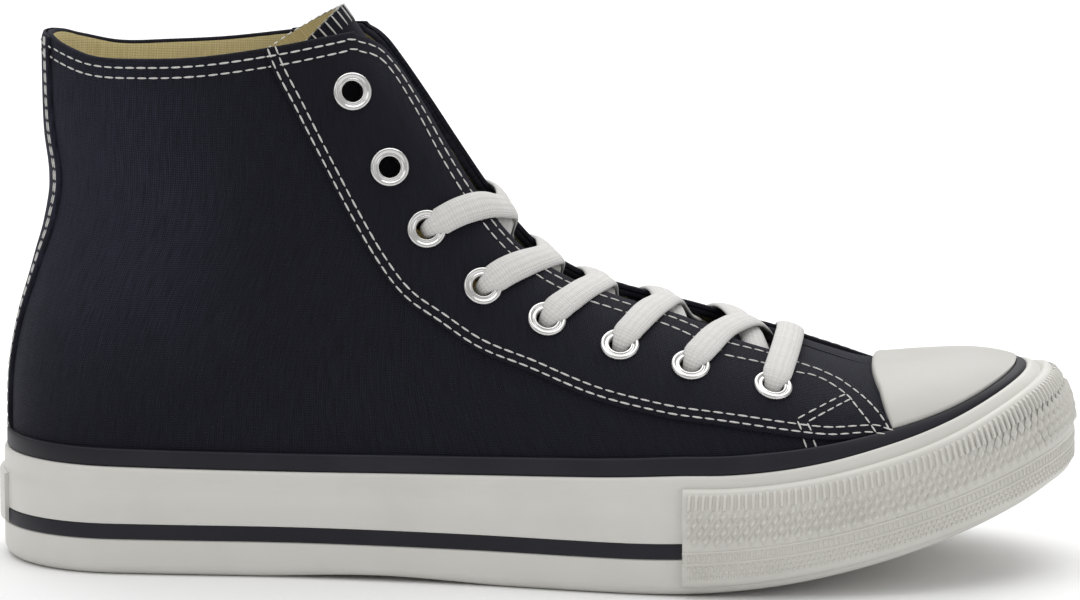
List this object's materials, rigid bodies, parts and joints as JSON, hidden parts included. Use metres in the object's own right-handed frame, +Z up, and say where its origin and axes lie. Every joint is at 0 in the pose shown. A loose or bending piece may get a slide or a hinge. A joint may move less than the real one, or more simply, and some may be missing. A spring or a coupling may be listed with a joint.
{
  "type": "high-top canvas sneaker",
  "caption": "Right-foot high-top sneaker with a navy canvas upper, white rubber sidewall, toe cap and toe bumper, metal eyelets and a white flat lace.",
  "frame": {"origin": "on the ground, below the middle of the shoe's length and width", "axes": "+X towards the toe, +Y towards the inner (medial) side of the foot, +Z up"},
  "size_m": [0.2984, 0.1132, 0.1511],
  "materials": {
    "canvas": "matte navy canvas",
    "white_rubber": "satin off-white vulcanised rubber",
    "navy_rubber": "satin dark navy rubber",
    "lining": "matte cream cotton lining",
    "eyelet_metal": "nickel-plated brass, softly polished",
    "lace": "matte white woven cotton"
  },
  "bodies": {
    "root": {"outsole": "white_rubber", "insole": "lining", "foxing": "white_rubber", "foxing_stripe": "navy_rubber", "foxing_trim": "navy_rubber", "toe_bumper": "white_rubber", "heel_label": "white_rubber", "upper": "canvas", "toe_cap": "white_rubber", "eyestay_lateral": "canvas", "eyestay_medial": "canvas", "back_stay": "canvas", "tongue": "canvas", "eyelet_lateral_1": "eyelet_metal", "eyelet_lateral_2": "eyelet_metal", "eyelet_lateral_3": "eyelet_metal", "eyelet_lateral_4": "eyelet_metal", "eyelet_lateral_5": "eyelet_metal", "eyelet_lateral_6": "eyelet_metal", "eyelet_lateral_7": "eyelet_metal", "eyelet_lateral_8": "eyelet_metal", "eyelet_medial_1": "eyelet_metal", "eyelet_medial_2": "eyelet_metal", "eyelet_medial_3": "eyelet_metal", "eyelet_medial_4": "eyelet_metal", "eyelet_medial_5": "eyelet_metal", "eyelet_medial_6": "eyelet_metal", "eyelet_medial_7": "eyelet_metal", "eyelet_medial_8": "eyelet_metal", "lace_crossing_1": "lace", "lace_crossing_2": "lace", "lace_crossing_3": "lace", "lace_crossing_4": "lace", "lace_crossing_5": "lace", "lace_bar": "lace"}
  },
  "joints": []
}
